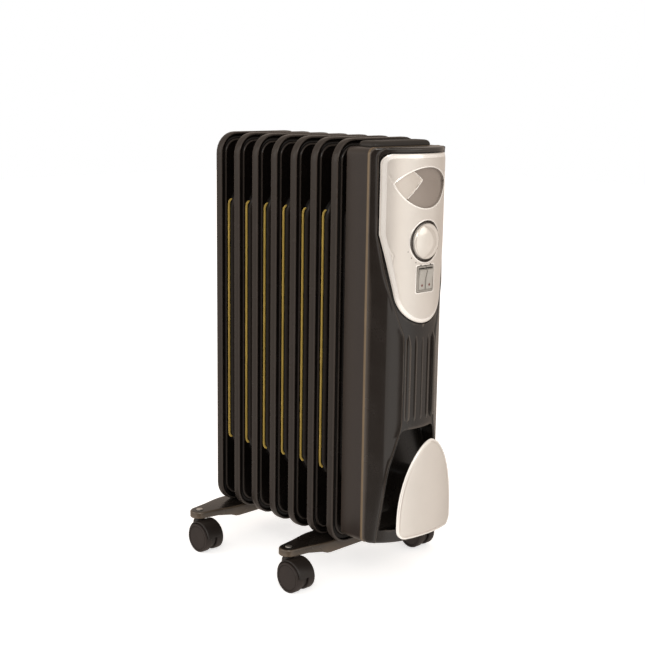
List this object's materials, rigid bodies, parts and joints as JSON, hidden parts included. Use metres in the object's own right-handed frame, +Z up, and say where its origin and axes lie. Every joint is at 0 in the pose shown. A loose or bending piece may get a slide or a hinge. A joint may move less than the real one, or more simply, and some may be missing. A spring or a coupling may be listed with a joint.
{
  "type": "oil filled radiator heater",
  "caption": "Oil filled radiator heater with upright steel fins, a curved control housing, a cord store, and foot brackets on twin-wheel casters.",
  "frame": {"origin": "on the floor, at the centre of the bounding box's underside", "axes": "+Z up, -Y towards the control panel, fins stacked along Y"},
  "size_m": [0.263, 0.3434, 0.574],
  "materials": {
    "fin_enamel": "black enamel, satin",
    "housing_paint": "dark brown paint, satin",
    "cover_plastic": "dark brown moulded plastic, glossy",
    "silver_plastic": "silver lacquer, satin",
    "knob_silver": "silver lacquer, glossy",
    "grille_plastic": "matte dark plastic",
    "switch_plastic": "grey plastic",
    "rocker_plastic": "grey plastic, glossy",
    "zinc_steel": "zinc plated",
    "element_sheath": "dull steel sheath",
    "gasket_rubber": "black rubber",
    "insulator": "cream phenolic",
    "switch_black": "black plastic",
    "wire_insulation": "red silicone insulation",
    "reel_plastic": "black plastic",
    "bracket_paint": "black paint",
    "caster_plastic": "black nylon",
    "wheel_plastic": "black nylon"
  },
  "bodies": {
    "radiator": {"fin_1": "fin_enamel", "fin_2": "fin_enamel", "fin_3": "fin_enamel", "fin_4": "fin_enamel", "fin_5": "fin_enamel", "fin_6": "fin_enamel", "fin_7": "fin_enamel", "header_caps": "fin_enamel", "housing_shell": "housing_paint", "front_cover": "cover_plastic", "cord_recess": "cover_plastic", "control_panel": "silver_plastic", "cord_cover": "silver_plastic", "top_grille": "grille_plastic", "switch_housing": "switch_plastic", "filler_plug": "zinc_steel", "ubolt_front": "zinc_steel", "ubolt_rear": "zinc_steel", "wing_nuts_front": "zinc_steel", "wing_nuts_rear": "zinc_steel", "housing_screws": "zinc_steel", "cord_cover_screw": "zinc_steel", "element_flange": "zinc_steel", "heating_element": "element_sheath", "flange_gasket": "gasket_rubber", "cord_gland": "gasket_rubber", "thermostat_body": "insulator", "terminal_block": "insulator", "thermal_cutout": "insulator", "tilt_switch": "switch_black", "internal_wiring": "wire_insulation", "cord_reel": "reel_plastic", "bracket_front": "bracket_paint", "bracket_rear": "bracket_paint"},
    "knob": {"thermostat_knob": "knob_silver", "thermostat_spindle": "zinc_steel"},
    "rocker_left": {"rocker_left": "rocker_plastic"},
    "rocker_right": {"rocker_right": "rocker_plastic"},
    "caster_fl": {"hood_fl": "caster_plastic", "stem_fl": "zinc_steel"},
    "wheelset_fl": {"wheels_fl": "wheel_plastic", "axle_fl": "zinc_steel"},
    "caster_fr": {"hood_fr": "caster_plastic", "stem_fr": "zinc_steel"},
    "wheelset_fr": {"wheels_fr": "wheel_plastic", "axle_fr": "zinc_steel"},
    "caster_rl": {"hood_rl": "caster_plastic", "stem_rl": "zinc_steel"},
    "wheelset_rl": {"wheels_rl": "wheel_plastic", "axle_rl": "zinc_steel"},
    "caster_rr": {"hood_rr": "caster_plastic", "stem_rr": "zinc_steel"},
    "wheelset_rr": {"wheels_rr": "wheel_plastic", "axle_rr": "zinc_steel"}
  },
  "joints": [
    {"name": "knob_turn", "type": "hinge", "parent": "radiator", "child": "knob", "pos_m": [0, -0.15275, 0.452], "axis": [0, 1, 0], "range_deg": [0, 270]},
    {"name": "rocker_left_tilt", "type": "hinge", "parent": "radiator", "child": "rocker_left", "pos_m": [-0.0066, -0.14825, 0.406], "axis": [-1, 0, 0], "range_deg": [0, 14]},
    {"name": "rocker_right_tilt", "type": "hinge", "parent": "radiator", "child": "rocker_right", "pos_m": [0.0066, -0.14825, 0.406], "axis": [-1, 0, 0], "range_deg": [0, 14]},
    {"name": "swivel_fl", "type": "hinge", "parent": "radiator", "child": "caster_fl", "pos_m": [-0.116, -0.03625, 0.05], "axis": [0, 0, 1], "continuous": true},
    {"name": "roll_fl", "type": "hinge", "parent": "caster_fl", "child": "wheelset_fl", "pos_m": [-0.116, -0.05025, 0.02], "axis": [1, 0, 0], "continuous": true},
    {"name": "swivel_fr", "type": "hinge", "parent": "radiator", "child": "caster_fr", "pos_m": [0.116, -0.03625, 0.05], "axis": [0, 0, 1], "continuous": true},
    {"name": "roll_fr", "type": "hinge", "parent": "caster_fr", "child": "wheelset_fr", "pos_m": [0.116, -0.05025, 0.02], "axis": [1, 0, 0], "continuous": true},
    {"name": "swivel_rl", "type": "hinge", "parent": "radiator", "child": "caster_rl", "pos_m": [-0.116, 0.14875, 0.05], "axis": [0, 0, 1], "continuous": true},
    {"name": "roll_rl", "type": "hinge", "parent": "caster_rl", "child": "wheelset_rl", "pos_m": [-0.116, 0.13475, 0.02], "axis": [1, 0, 0], "continuous": true},
    {"name": "swivel_rr", "type": "hinge", "parent": "radiator", "child": "caster_rr", "pos_m": [0.116, 0.14875, 0.05], "axis": [0, 0, 1], "continuous": true},
    {"name": "roll_rr", "type": "hinge", "parent": "caster_rr", "child": "wheelset_rr", "pos_m": [0.116, 0.13475, 0.02], "axis": [1, 0, 0], "continuous": true}
  ]
}
